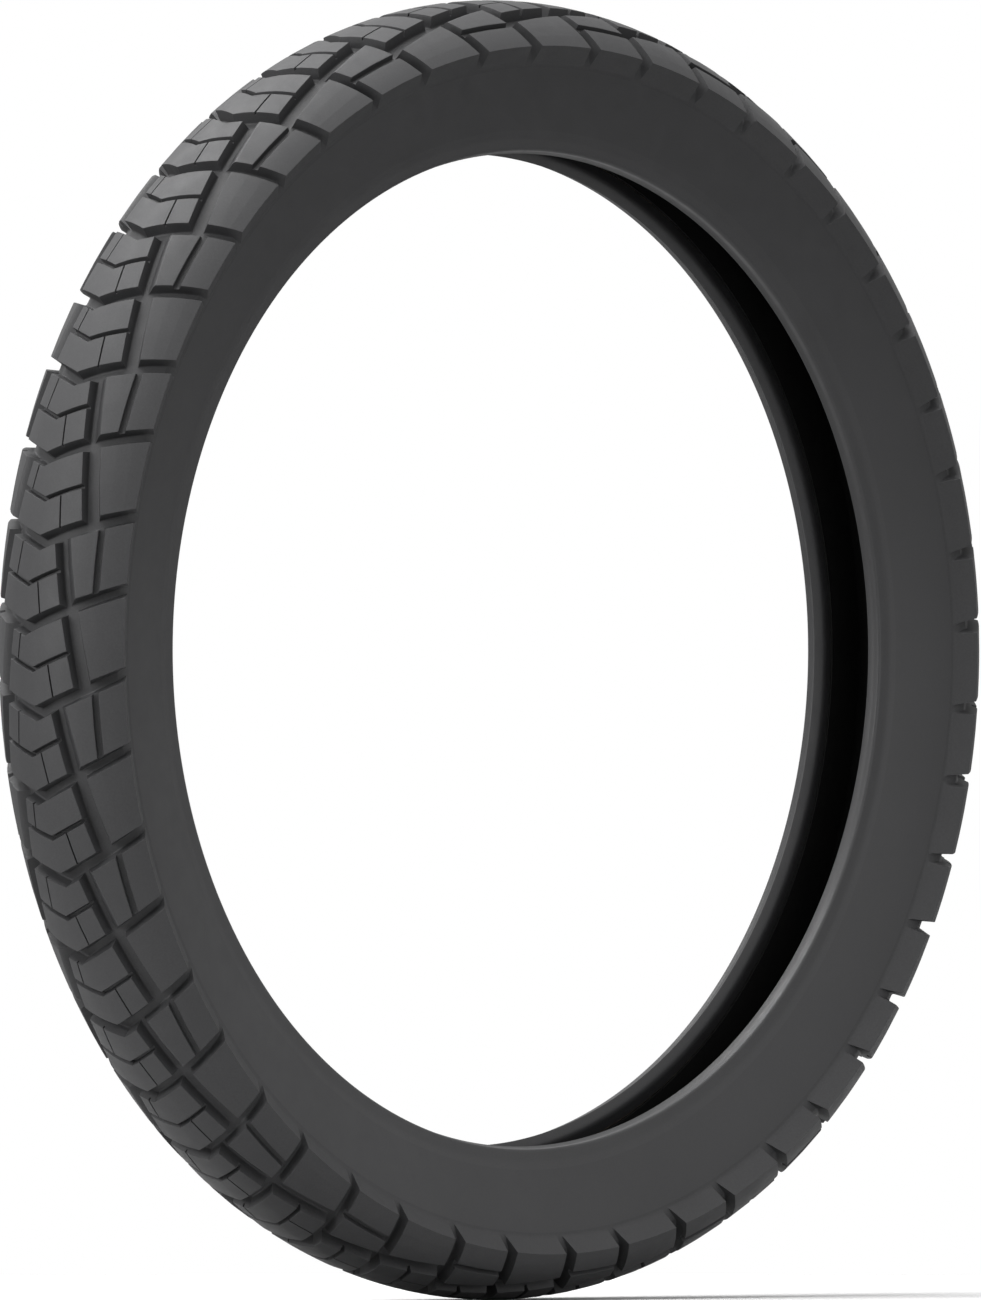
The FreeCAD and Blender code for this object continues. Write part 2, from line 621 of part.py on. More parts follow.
def tread_cap():
    """The moulded tread: a floor from side to side, and two rows of blocks in every repeat."""
    crown = number("sizes.crown_arc")
    floor = number("rules.groove_floor_arc")
    full_band = crown_band(floor - BLOCK_SINK, crown)
    low_band = crown_band(floor - BLOCK_SINK, crown - number("sizes.narrow_depth"))
    arms = centre_part(V_TOP, V_BOTTOM, low_band)
    arms += centre_part(V_TOP, V_NARROW_TOP, full_band)
    arms += centre_part(V_NARROW_BOTTOM, V_BOTTOM, full_band)
    centre = arms[0].multiFuse(arms[1:]).removeSplitter()
    shoulders = Part.Compound([shoulder_block(1, full_band).cut(shoulder_slot()),
                               shoulder_block(-1, full_band)])
    repeat_angle = 360 / number("sizes.repeats")
    second_centre = centre.mirror(FreeCAD.Vector(), AXLE)
    second_shoulders = shoulders.mirror(FreeCAD.Vector(), AXLE)
    for shape in (second_centre, second_shoulders):
        shape.rotate(FreeCAD.Vector(), AXLE, -repeat_angle / 2)
    centre = centre.cut([slit(ends) for ends in FIRST_ROW_SLITS])
    second_centre = second_centre.cut([slit(ends) for ends in SECOND_ROW_SLITS])
    blocks = []
    for step in range(int(number("sizes.repeats"))):
        for shape in (centre, shoulders, second_centre, second_shoulders):
            copy = shape.copy()
            copy.rotate(FreeCAD.Vector(), AXLE, -repeat_angle * step)
            blocks += copy.Solids
    turn_start, turn_middle, turn_end = ground_turn()
    foot = (number("rules.foot_up"), number("rules.foot_out"))
    base_edge = crown_place("rules.base_arc", "sizes.base_edge_angle")
    half_way = "(sizes.cap_edge_angle + sizes.casing_arc_angle) / 2"
    casing_edge, casing_middle, casing_end = [
        tuple(number(part) for part in place)
        for place in (on_shoulder(0, "sizes.cap_edge_angle"), on_shoulder(0, half_way), on_casing(0))
    ]
    floor_ring = turned([
        (flipped(turn_start), crown_place(floor, 0)),
        (turn_start, turn_middle),
        (turn_end,),
        (foot,),
        (casing_edge, casing_middle),
        (casing_end,),
        (base_edge, crown_place("rules.base_arc", 0)),
        (flipped(base_edge),),
        (flipped(casing_end), flipped(casing_middle)),
        (flipped(casing_edge),),
        (flipped(foot),),
        (flipped(turn_end), flipped(turn_middle)),
    ])
    cap = DOCUMENT.addObject("Part::Feature", "tread_cap")
    cap.Label = "tread_cap"
    cap.Shape = floor_ring.multiFuse(blocks).Solids[0]
    cap.Placement = FreeCAD.Placement()
    return cap


# ------------------------------------------------------------------------------------ the assembly
def build():
    """Every sub-part of the tire, from the inside out."""
    outer_ply = ("0", "sizes.ply_thickness", "sizes.outer_turn_up")
    inner_ply = ("sizes.ply_thickness", "rules.plies", "sizes.inner_turn_up")
    parts = [
        inner_liner(),
        carcass_ply("carcass_ply_inner", *inner_ply),
        carcass_ply("carcass_ply_outer", *outer_ply),
        breaker("breaker_ply_inner", "-sizes.breaker_thickness", "0", "sizes.breaker_inner_angle"),
        breaker("breaker_ply_outer", "-2 * sizes.breaker_thickness", "-sizes.breaker_thickness",
                "sizes.breaker_outer_angle"),
        tread_base(),
        tread_cap(),
    ]
    for side, right_side in (("left", False), ("right", True)):
        parts += [
            bead_core(f"bead_core_{side}", right_side),
            bead_wrap(f"bead_wrap_{side}", right_side),
            apex(f"bead_apex_{side}", right_side),
            chafer(f"chafer_{side}", right_side),
            sidewall(f"sidewall_{side}", right_side),
        ]
    return parts


def check_and_write(parts):
    """Stop on any failed object, then write each sub-part's file."""
    DOCUMENT.recompute()
    for item in DOCUMENT.Objects:
        if "Invalid" in item.State or "Error" in item.State:
            raise RuntimeError(f"{item.Label} failed to build: {item.State}")
    for part in parts:
        if part.Shape.isNull() or not part.Shape.isValid() or len(part.Shape.Solids) != 1:
            raise RuntimeError(f"{part.Label} isn't one valid solid")
    os.makedirs("parts", exist_ok=True)
    for part in parts:
        part.Shape.exportStep(f"parts/{part.Label}.step")
        box = part.Shape.BoundBox
        print(f"{part.Label}: {part.Shape.Volume / 1000:.1f} cm3, {len(part.Shape.Faces)} faces, "
              f"{box.XLength:.1f} x {box.YLength:.1f} x {box.ZLength:.1f} mm")


check_and_write(build())
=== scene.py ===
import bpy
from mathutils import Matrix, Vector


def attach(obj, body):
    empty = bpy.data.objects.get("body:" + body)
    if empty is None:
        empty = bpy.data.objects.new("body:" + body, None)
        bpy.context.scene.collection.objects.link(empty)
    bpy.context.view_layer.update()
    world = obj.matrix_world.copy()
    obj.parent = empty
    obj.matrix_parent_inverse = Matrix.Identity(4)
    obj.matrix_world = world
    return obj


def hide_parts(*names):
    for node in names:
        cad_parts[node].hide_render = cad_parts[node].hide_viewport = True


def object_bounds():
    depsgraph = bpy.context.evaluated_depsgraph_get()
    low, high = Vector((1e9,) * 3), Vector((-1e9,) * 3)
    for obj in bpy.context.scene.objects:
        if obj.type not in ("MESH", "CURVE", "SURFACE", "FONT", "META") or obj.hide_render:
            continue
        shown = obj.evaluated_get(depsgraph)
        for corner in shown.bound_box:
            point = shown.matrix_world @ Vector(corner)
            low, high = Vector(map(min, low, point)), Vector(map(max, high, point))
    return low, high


bl_info = {
    "name": "Motorcycle Tire",
    "version": (1, 0, 0),
    "blender": (4, 5, 0),
    "location": "3D View > Sidebar > Tire",
    "description": "Builds the visual pieces of a block-tread motorcycle tire round its CAD frame",
    "category": "Object",
}

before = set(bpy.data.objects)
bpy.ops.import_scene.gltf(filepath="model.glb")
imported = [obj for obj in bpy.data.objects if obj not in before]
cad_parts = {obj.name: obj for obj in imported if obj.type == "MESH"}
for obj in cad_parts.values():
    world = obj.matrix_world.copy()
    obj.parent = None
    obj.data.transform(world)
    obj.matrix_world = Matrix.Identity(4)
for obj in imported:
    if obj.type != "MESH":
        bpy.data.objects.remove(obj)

import math

import bmesh
import bpy
from bpy.props import FloatProperty, FloatVectorProperty, PointerProperty
from mathutils import Matrix, Vector

CAD_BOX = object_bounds()
MM = 0.001
SIDES = (("left", 1), ("right", -1))

# A point of the half section is (up, out): its distance from the wheel axis and from the centre
# plane. A place on the tread is (across, round): metres along the crown from its centre line towards
# the right side, and degrees round the wheel from +X towards +Z.
CROWN_RADIUS = CAD_BOX[1][2]
REPEATS = 24
REPEAT = 360 / REPEATS
ROW = REPEAT / 2
V_SLOPE = 63.5                       # degrees round that a V line runs back for each metre across
STEP_SLOPE = 1.09 * MM               # metres across that a step line moves for each degree round
STEP_CENTRE = (13.5 * MM, 5.7)       # a place on the centre blocks' edge, right side
STEP_SHOULDER = (22.8 * MM, 4.9)     # a place on the shoulder blocks' edge, right side
SLOT = (37.0 * MM, 40.8 * MM)        # the slot's walls, across
SLIT_HALF = 0.42 * MM
DEGREE = 6.05 * MM                   # a degree round, along the crown

# The V lines' tips in the first row of blocks, in the order they come round: the blocks' top edge,
# the two edges of the narrow groove and the blocks' bottom edge. The second row is the first turned
# over to the other side, half a repeat further round.
ROW_TIPS = ((3.7 * MM, 6.27), (-2.6 * MM, 8.95), (-2.4 * MM, 9.45), (-3.0 * MM, 12.4))
# The thin slits' ends in each row: left arm, then right arm.
SLITS = {
    ("first", -1): ((-10.0 * MM, 5.2), (-13.5 * MM, 9.1)),
    ("first", 1): ((4.7 * MM, 9.2), (7.8 * MM, 12.6)),
    ("second", -1): ((-6.7 * MM, 13.2), (-9.6 * MM, 16.7)),
    ("second", 1): ((12.5 * MM, 16.1), (15.9 * MM, 20.0)),
}

# The flat pattern's columns count outwards from the V's tip, minus on the left.
SLIT_IN, SLIT_OUT, CENTRE_EDGE, SHOULDER_EDGE, SLOT_IN, SLOT_OUT = range(1, 7)
TURN_START, TURN_MIDDLE, TURN_END, FOOT, END = range(7, 12)
# Its lines round the wheel: the middle of the groove before the first row, four lines to each row,
# and the middle of the groove after the second.
FIRST_TOP, FIRST_BOTTOM, SECOND_TOP, SECOND_BOTTOM, LAST_LINE = 1, 4, 5, 8, 9

# Half-section places in metres, (up, out).
FOOT_PLACE = (312.3 * MM, 38.3 * MM)         # foot of the tread's side face
CHAFER_TOP = (277.0 * MM, 28.9 * MM)         # where the sidewall ends on the chafer
SIDEWALL_BULGE = 0.6 * MM
GROUND_ROUND = 3.0 * MM                      # turns the groove floor down into the sidewall
FOOT_SPREAD = 1.9 * MM                       # how far a block's foot spreads past its top edge
SHOULDER_LEAN = math.radians(56)             # the tread's outer edge, about the crown arc
RAMP = 6.2 * MM                              # reach of a slotted block's gentle inner wall
SLOT_DRAFT = math.tan(math.radians(8))
BEAD_PLACE = (270.4 * MM, 22.3 * MM)         # middle of the wrapped bead
CASING_PLACE = (289.95 * MM, 0.0)            # centre of the casing's crown arc
CASING_ARC = 46 * MM
SHOULDER_PLACE = (313.70 * MM, 19.93 * MM)   # centre of the casing's shoulder arc
SHOULDER_ARC = 15 * MM
CAP_FLOOR = 1.0 * MM                         # tread rubber left under the grooves
SIDEWALL_START = 0.055                       # share of the sidewall's curve that the tread covers

# Angles in degrees from the outward radial direction.
SIDE_LEAN = 20.4                             # lean of the casing's side
CASING_END = 40                              # where the crown arc meets the shoulder arc
CAP_END = 84                                 # where the tread's edge meets the shoulder arc
LINER_START = 48                             # first point of the liner on the shoulder arc
BASE_END = 41                                # edge of the tread base, about the crown arc
TOE_WRAP = 236                               # where the chafer leaves the bead's round for the toe
TURN_UP_END = 98.5                           # where it leaves that round on the outside

# Radii and reaches round the middle of the wrapped bead.
BEAD_WRAP = 2.3 * MM
PLIES = 1.4 * MM
LINER = 1.2 * MM
CHAFER = 0.8 * MM
LINER_REACH = 6.2 * MM                       # height of the liner's edge above the bead

# The chafer's outline, outside from its top to the flange face, then the heel's round and the toe.
LIP = ((275.6, 28.45), (274.3, 28.05), (273.2, 27.78), (272.2, 27.62), (271.0, 27.55), (269.6, 27.5),
       (268.4, 27.4))
HEEL_PLACE = (267.6 * MM, 25.7 * MM)
HEEL_ROUND = 1.7 * MM
TOE = ((265.9, 24.2), (265.9, 22.6), (264.85, 20.9), (264.6, 20.4), (264.8, 20.05))
CHAFER_INSIDE = ((276.65, 19.83), (276.37, 20.58))
CHAFER_OUTSIDE = (275.79 * MM, 26.85 * MM)   # where the chafer, the sidewall and the ply meet
TURNED_PLIES = ((284.69, 28.18), (288.85, 27.38), (288.07, 26.42))

# How finely curves are cut.
SPIN_STEPS = 288
ACROSS_CUT = 4 * MM
CUTS_A_REPEAT = 6
SIDEWALL_STEPS = 14

# The camera stands half way between the front and the right side, level with the axle.
CAMERA_DISTANCE = 24.5
HALF_HEIGHT = 0.34657                        # half of what the frame takes in at the axle
SENSOR = 36
CAMERA_SHIFT = -0.002


# ------------------------------------------------------------------------------------- settings
class TireTreadSettings(bpy.types.PropertyGroup):
    """Sizes and colour of the tread."""

    crown_arc: FloatProperty(name="Crown Arc", description="Radius of the crown across the tire",
                             default=56 * MM, unit="LENGTH")
    depth: FloatProperty(name="Groove Depth", description="Depth of the main grooves",
                         default=6.75 * MM, unit="LENGTH")
    narrow_depth: FloatProperty(name="Narrow Groove Depth", default=3.4 * MM, unit="LENGTH",
                                description="Depth of the V groove across each centre block")
    slot_depth: FloatProperty(name="Slot Depth", default=3.0 * MM, unit="LENGTH",
                              description="Depth of the slot in each slotted shoulder block")
    slit_depth: FloatProperty(name="Slit Depth", default=1.8 * MM, unit="LENGTH",
                              description="Depth of the thin slits in the centre blocks")
    draft: FloatProperty(name="Draft", description="Slope of the groove walls",
                         default=math.radians(12), subtype="ANGLE")
    fillet: FloatProperty(name="Floor Fillet", description="Round at the foot of the groove walls",
                          default=0.9 * MM, unit="LENGTH")
    edge_round: FloatProperty(name="Edge Round", description="Round on the block edges",
                              default=0.22 * MM, unit="LENGTH")
    colour: FloatVectorProperty(name="Colour", description="Tread rubber colour", subtype="COLOR",
                                default=(0.022, 0.022, 0.023), min=0, max=1)


class TireCasingSettings(bpy.types.PropertyGroup):
    """Colours of the smooth rubber and of the layers inside."""

    sidewall: FloatVectorProperty(name="Sidewall", description="Sidewall rubber colour",
                                  subtype="COLOR", default=(0.02, 0.02, 0.021), min=0, max=1)
    bead: FloatVectorProperty(name="Bead", description="Bead rubber colour", subtype="COLOR",
                              default=(0.02, 0.02, 0.021), min=0, max=1)
    liner: FloatVectorProperty(name="Liner", description="Inner liner rubber colour",
                               subtype="COLOR", default=(0.008, 0.008, 0.008), min=0, max=1)
    cord: FloatVectorProperty(name="Cord", description="Colour of the cord plies", subtype="COLOR",
                              default=(0.16, 0.13, 0.1), min=0, max=1)
    wire: FloatVectorProperty(name="Wire", description="Colour of the bead wire", subtype="COLOR",
                              default=(0.62, 0.52, 0.36), min=0, max=1)


class TireStageSettings(bpy.types.PropertyGroup):
    """The floor and the light."""

    floor_radius: FloatProperty(name="Floor Radius", description="Size of the round floor",
                                default=1.0, unit="LENGTH")
    floor_colour: FloatVectorProperty(name="Floor Colour", description="Pale floor under a strong light",
                                      subtype="COLOR", default=(0.5, 0.5, 0.5), min=0, max=1)
    overhead: FloatProperty(name="Overhead Light", description="Power of the light above",
                            default=46.0, unit="POWER")
    behind: FloatProperty(name="Rear Light", description="Power of the light above and beyond the tire",
                          default=38.0, unit="POWER")
    slanted: FloatProperty(name="Slanted Light", description="Power of the light above and ahead",
                           default=32.0, unit="POWER")
    ahead: FloatProperty(name="Side Light", description="Power of the low light towards the tread",
                         default=40.0, unit="POWER")
    facing: FloatProperty(name="Facing Light", description="Power of the low light towards the sidewall",
                          default=10.0, unit="POWER")
    sky: FloatProperty(name="Sky", description="Brightness of the surround above the axle", default=0.95)
    ground: FloatProperty(name="Ground", description="Brightness of the surround below the axle",
                          default=0.3)


# ------------------------------------------------------------------------------- lines of the section
def in_metres(places):
    """Half-section places in metres, from places in millimetres."""
    return [(up * MM, out * MM) for up, out in places]


def lerp(start, end, share):
    """The point at a share of the way from start to end."""
    return tuple(a + (b - a) * share for a, b in zip(start, end))


def section_point(settings, across, height):
    """The (up, out) of a place across the crown, at a height above the groove floor."""
    radius = settings.crown_arc - settings.depth + height
    lean = across / settings.crown_arc
    return (CROWN_RADIUS - settings.crown_arc + radius * math.cos(lean), radius * math.sin(lean))


def flat_point(settings, place):
    """The (across, height) in the flat pattern of a point of the half section."""
    up = place[0] - (CROWN_RADIUS - settings.crown_arc)
    across = math.atan2(place[1], up) * settings.crown_arc
    return (across, math.hypot(up, place[1]) - (settings.crown_arc - settings.depth))


def sidewall_place(share):
    """A point of the sidewall's curve: 0 is the foot of the tread's side face, 1 the chafer's top."""
    up, out = lerp(FOOT_PLACE, CHAFER_TOP, share)
    run = Vector(FOOT_PLACE) - Vector(CHAFER_TOP)
    outward = Vector((-run.y, run.x)).normalized() * SIDEWALL_BULGE * 4 * share * (1 - share)
    return (up + outward.x, out + outward.y)


def side_columns(settings):
    """The flat places of the columns past the crown, for the groove floor and for a block."""
    step = 0.01
    up = (Vector(FOOT_PLACE) - Vector(sidewall_place(step))).normalized()
    outward = Vector((-up.y, up.x))
    crown = Vector((CROWN_RADIUS - settings.crown_arc, 0))
    floor = settings.crown_arc - settings.depth
    start = Vector(FOOT_PLACE) - outward * GROUND_ROUND - crown
    along = start.dot(up)
    reach = math.sqrt(along ** 2 - start.dot(start) + (floor - GROUND_ROUND) ** 2) - along
    towards = (start + up * reach).normalized()
    centre = crown + towards * (floor - GROUND_ROUND)
    middle = (towards + outward).normalized()
    ground = [crown + towards * floor, centre + middle * GROUND_ROUND, centre + outward * GROUND_ROUND]
    edge = section_point(settings, settings.crown_arc * SHOULDER_LEAN, settings.depth)
    face = [lerp(edge, FOOT_PLACE, share) for share in (0, 0.42, 0.84)]
    ends = [FOOT_PLACE, sidewall_place(SIDEWALL_START)]
    return ([flat_point(settings, place) for place in (*ground, *ends)],
            [flat_point(settings, place) for place in (*face, *ends)])


# -------------------------------------------------------------------------------- the flat tread pattern
def line_tip(line):
    """Where a line round the wheel has its V's tip."""
    if line == 0:
        low_across, low_round = line_tip(SECOND_BOTTOM)
        across, turn = line_tip(FIRST_TOP)
        return ((low_across + across) / 2, (low_round - REPEAT + turn) / 2)
    if line == LAST_LINE:
        across, turn = line_tip(0)
        return (across, turn + REPEAT)
    if line <= FIRST_BOTTOM:
        return ROW_TIPS[line - FIRST_TOP]
    across, turn = ROW_TIPS[line - SECOND_TOP]
    return (-across, turn + ROW)


def row_of(line):
    """The row of blocks that a line belongs to."""
    return "first" if line <= FIRST_BOTTOM else "second"


def is_slotted(side, row):
    """Whether the shoulder block on a side of a row has the slot."""
    return (side > 0) == (row == "first")


class Level:
    """A height in the flat pattern, with how far each kind of wall stands out from its top edge."""

    def __init__(self, settings, height, inset=0.0):
        self.height = height
        self.share = height / settings.depth
        depth = settings.depth - height
        slope = math.tan(settings.draft)
        fillet = settings.fillet
        rise = 1 - min(height / fillet, 1)
        curve = fillet * (1 - math.sqrt(1 - rise * rise))
        self.block = depth * slope + curve - inset
        self.ramp = RAMP * (1 - math.acos(1 - 2 * self.share) / math.pi)
        self.narrow = min(depth, settings.narrow_depth) * slope - inset
        self.slot = min(depth, settings.slot_depth) * SLOT_DRAFT - inset
        self.slit = -inset * 0.4


def line_offset(line, level):
    """How far round a line moves at a level."""
    if line in (FIRST_TOP, SECOND_TOP):
        return -level.block
    if line in (FIRST_BOTTOM, SECOND_BOTTOM):
        return level.block
    if line in (FIRST_TOP + 1, SECOND_TOP + 1):
        return level.narrow
    if line in (FIRST_TOP + 2, SECOND_TOP + 2):
        return -level.narrow
    return 0.0


def column_line(column, side, row, level):
    """A column as (across, round, slope, offset): a place on it, its slope and its shift outwards."""
    if column in (SLIT_IN, SLIT_OUT):
        (start, start_round), (end, end_round) = SLITS[row, side]
        outward = 1 if column == SLIT_OUT else -1
        slope = (end - start) / (end_round - start_round)
        return (start + side * outward * SLIT_HALF, start_round, slope, -outward * level.slit)
    if column in (CENTRE_EDGE, SHOULDER_EDGE):
        across, turn = STEP_CENTRE if column == CENTRE_EDGE else STEP_SHOULDER
        if side < 0:
            turn += -ROW if row == "first" else ROW
        offset = level.block
        if column == SHOULDER_EDGE:
            offset = -(level.ramp if is_slotted(side, row) else level.block)
        return (side * across, turn, side * STEP_SLOPE, offset)
    across = SLOT[0] if column == SLOT_IN else SLOT[1]
    return (side * across, 0.0, 0.0, level.slot if column == SLOT_IN else -level.slot)


def crossing(column, side, line, level):
    """Where a column crosses a line, as (across, round)."""
    across, turn, slope, offset = column_line(column, side, row_of(line), level)
    across += side * offset * math.hypot(1, slope / DEGREE)
    tip, tip_round = line_tip(line)
    tip_round += line_offset(line, level) * math.hypot(1, V_SLOPE * DEGREE) / DEGREE
    back = V_SLOPE * side
    found = (across + slope * (tip_round + back * tip - turn)) / (1 + slope * back)
    if column in (SLIT_IN, SLIT_OUT):
        room = 1.5 * MM if column == SLIT_IN else 3 * MM
        found = side * max(side * found, side * tip + room)
    return (found, tip_round - back * (found - tip))


def pattern_place(settings, sides, column, line, level):
    """The flat place of a column and a line at a level, as a vector."""
    if line in (0, LAST_LINE):
        across = pattern_place(settings, sides, column, FIRST_TOP, level).x
        tip, turn = line_tip(line)
        height = 0.0
        if abs(column) >= TURN_START:
            across = sides[0][abs(column) - TURN_START][0] * (1 if column > 0 else -1)
            height = sides[0][abs(column) - TURN_START][1]
        return Vector((across, (turn - V_SLOPE * abs(across - tip)) * DEGREE, height))
    tip, turn = line_tip(line)
    offset = line_offset(line, level) * math.hypot(1, V_SLOPE * DEGREE) / DEGREE
    if column == 0:
        return Vector((tip, (turn + offset) * DEGREE, level.height))
    side = 1 if column > 0 else -1
    count = abs(column)
    if count >= TURN_START:
        ground, face = [places[count - TURN_START] for places in sides]
        across, height = lerp(ground, face, level.share)
        share = min(count - TURN_START, 3) / 3
        rows = {FIRST_TOP: -1, SECOND_TOP: -1, FIRST_BOTTOM: 1, SECOND_BOTTOM: 1}
        foot = rows.get(line, 0) * FOOT_SPREAD / DEGREE if count < END else 0.0
        if count == END:
            offset = 0.0
        turn += offset * (1 - share) + foot * share
        return Vector((side * across, (turn - V_SLOPE * abs(side * across - tip)) * DEGREE, height))
    if count in (SLOT_IN, SLOT_OUT) and not is_slotted(side, row_of(line)):
        start = crossing(SHOULDER_EDGE, side, line, level)[0]
        edge = side * settings.crown_arc * SHOULDER_LEAN
        across = start + (edge - start) * (count - SHOULDER_EDGE) / 3
        return Vector((across, (turn + offset - V_SLOPE * abs(across - tip)) * DEGREE, level.height))
    across, place_round = crossing(count, side, line, level)
    return Vector((across, place_round * DEGREE, level.height))


class Pattern:
    """One repeat of the tread as a flat sheet: across on X, round on Y, height on Z."""

    def __init__(self, settings):
        self.settings = settings
        self.sides = side_columns(settings)
        self.bm = bmesh.new()
        self.column = self.bm.verts.layers.int.new("column")
        self.line = self.bm.verts.layers.int.new("line")
        grid = bmesh.ops.create_grid(self.bm, x_segments=2 * END, y_segments=LAST_LINE, size=1)
        for vert in grid["verts"]:
            vert[self.column] = round(vert.co.x * END)
            vert[self.line] = round((vert.co.y + 1) / 2 * LAST_LINE)
        self.settle(self.bm.verts, Level(settings, 0.0))

    def settle(self, verts, level):
        """Puts vertices in their places at a level."""
        for vert in verts:
            vert.co = pattern_place(self.settings, self.sides, vert[self.column], vert[self.line], level)

    def where(self, face):
        """(side, zone, band) of a face: zones count from the V's tip, and bands round the wheel."""
        column = min(vert[self.column] for vert in face.verts)
        band = min(vert[self.line] for vert in face.verts)
        return (1, column, band) if column >= 0 else (-1, -column - 1, band)

    def pick(self, faces, wanted):
        """The faces whose (side, zone, band) is wanted."""
        return [face for face in faces if face.is_valid and wanted(*self.where(face))]

    def raise_faces(self, faces, levels):
        """Raises faces level by level, and returns them at the last level."""
        for level in levels:
            made = bmesh.ops.extrude_face_region(self.bm, geom=faces)["geom"]
            old = [face for face in faces if face.is_valid]
            bmesh.ops.delete(self.bm, geom=old, context="FACES_ONLY")
            faces = [item for item in made if isinstance(item, bmesh.types.BMFace)]
            self.settle({vert for face in faces for vert in face.verts}, level)
        return faces

    def raise_blocks(self):
        """Raises every block of the repeat from the groove floor."""
        settings = self.settings
        depth = settings.depth
        foot = [Level(settings, settings.fillet * share) for share in (0.134, 0.5, 1.0)]
        narrow = Level(settings, depth - settings.narrow_depth)
        slit = Level(settings, depth - settings.slit_depth)
        slot = Level(settings, depth - settings.slot_depth)
        slope = [Level(settings, depth * share) for share in (0.72, 0.85, 0.94)]
        half_slot = Level(settings, (foot[-1].height + slot.height) / 2)
        edge = settings.edge_round
        top = [Level(settings, depth - edge), Level(settings, depth - edge * 0.29, edge * 0.29),
               Level(settings, depth, edge)]
        base = list(self.bm.faces)
        for row, first_band in (("first", FIRST_TOP), ("second", SECOND_TOP)):
            bands = range(first_band, first_band + 3)
            centre = self.pick(base, lambda side, zone, band: zone <= 2 and band in bands)
            centre = self.raise_faces(centre, foot + [narrow])
            for band_now, slit_side in ((first_band, -1), (first_band + 2, 1)):
                piece = self.pick(centre, lambda side, zone, band: band == band_now)
                piece = self.raise_faces(piece, [slit])
                piece = self.pick(piece, lambda side, zone, band: (side, zone) != (slit_side, 1))
                self.raise_faces(piece, top)
            for side_now in (1, -1):
                block = self.pick(base, lambda side, zone, band:
                                  side == side_now and 4 <= zone < FOOT and band in bands)
                if is_slotted(side_now, row):
                    block = self.raise_faces(block, foot + [half_slot, slot])
                    self.raise_faces(self.pick(block, lambda side, zone, band: zone == 4), slope + top)
                    self.raise_faces(self.pick(block, lambda side, zone, band: zone > 5), top)
                else:
                    self.raise_faces(block, foot + top)
        bmesh.ops.remove_doubles(self.bm, verts=self.bm.verts, dist=0.002 * MM)

    def cut(self, across_step, turns):
        """Cuts the sheet across and round, finely enough to bend."""
        reach = math.ceil(self.sides[1][-1][0] / across_step)
        cuts = [(Vector((index * across_step, 0, 0)), Vector((1, 0, 0)))
                for index in range(-reach, reach + 1)]
        cuts += [(Vector((0, index * REPEAT / turns * DEGREE, 0)), Vector((0, 1, 0)))
                 for index in range(0, 2 * turns)]
        for place, normal in cuts:
            geom = list(self.bm.verts) + list(self.bm.edges) + list(self.bm.faces)
            bmesh.ops.bisect_plane(self.bm, geom=geom, dist=0.01 * MM, plane_co=place, plane_no=normal)

    def bend(self):
        """Bends the sheet round the wheel."""
        for vert in self.bm.verts:
            across, along, height = vert.co
            up, out = section_point(self.settings, across, height)
            turn = math.radians(along / DEGREE)
            vert.co = Vector((up * math.cos(turn), -out, up * math.sin(turn)))


# ------------------------------------------------------------------------------------ mesh helpers
def add_piece(name, bm, nodes, material, sharp=math.radians(35)):
    """A finished piece from a mesh, which stands for CAD nodes and takes a material slot."""
    mesh = bpy.data.meshes.new(name)
    bm.to_mesh(mesh)
    bm.free()
    mesh.shade_smooth()
    mesh.set_sharp_from_angle(angle=sharp)
    piece = bpy.data.objects.new(name, mesh)
    bpy.context.scene.collection.objects.link(piece)
    mesh.materials.append(material)
    weighted = piece.modifiers.new("Even Shading", "WEIGHTED_NORMAL")
    weighted.keep_sharp = True
    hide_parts(*nodes)
    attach(piece, "root")
    return piece


def ring_edges(bm, side):
    """The open edges of a sheet on a side of the centre plane."""
    return [edge for edge in bm.edges
            if edge.is_boundary and all(vert.co.y * side < 0 for vert in edge.verts)]


def close_underside(bm, lines):
    """Closes a bent sheet with walls down both its edges and across under it.

    lines holds the half section's places from the sheet's edge to near the centre plane.
    """
    loops = []
    for side in (1, -1):
        edges = ring_edges(bm, side)
        for up, out in lines:
            made = bmesh.ops.extrude_edge_only(bm, edges=edges)["geom"]
            for vert in [item for item in made if isinstance(item, bmesh.types.BMVert)]:
                turn = math.atan2(vert.co.z, vert.co.x)
                vert.co = Vector((up * math.cos(turn), -side * out, up * math.sin(turn)))
            edges = [item for item in made if isinstance(item, bmesh.types.BMEdge) and item.is_boundary]
        loops += edges
    bmesh.ops.bridge_loops(bm, edges=loops)


def arc_places(centre, radius, start, end, count):
    """Half-section places round an arc, with angles from the outward radial direction, in degrees."""
    places = []
    for index in range(count + 1):
        angle = math.radians(start + (end - start) * index / count)
        places.append((centre[0] + radius * math.cos(angle), centre[1] + radius * math.sin(angle)))
    return places


def ring_mesh(outline, side):
    """A closed ring turned from an outline of the half section, on one side of the centre plane."""
    bm = bmesh.new()
    verts = [bm.verts.new((up, side * out, 0)) for up, out in outline]
    edges = [bm.edges.new((verts[index - 1], verts[index])) for index in range(len(verts))]
    bmesh.ops.spin(bm, geom=verts + edges, cent=(0, 0, 0), axis=(0, 1, 0), angle=math.tau,
                   steps=SPIN_STEPS, use_merge=True)
    bmesh.ops.remove_doubles(bm, verts=bm.verts, dist=0.001 * MM)
    bmesh.ops.recalc_face_normals(bm, faces=bm.faces)
    return bm


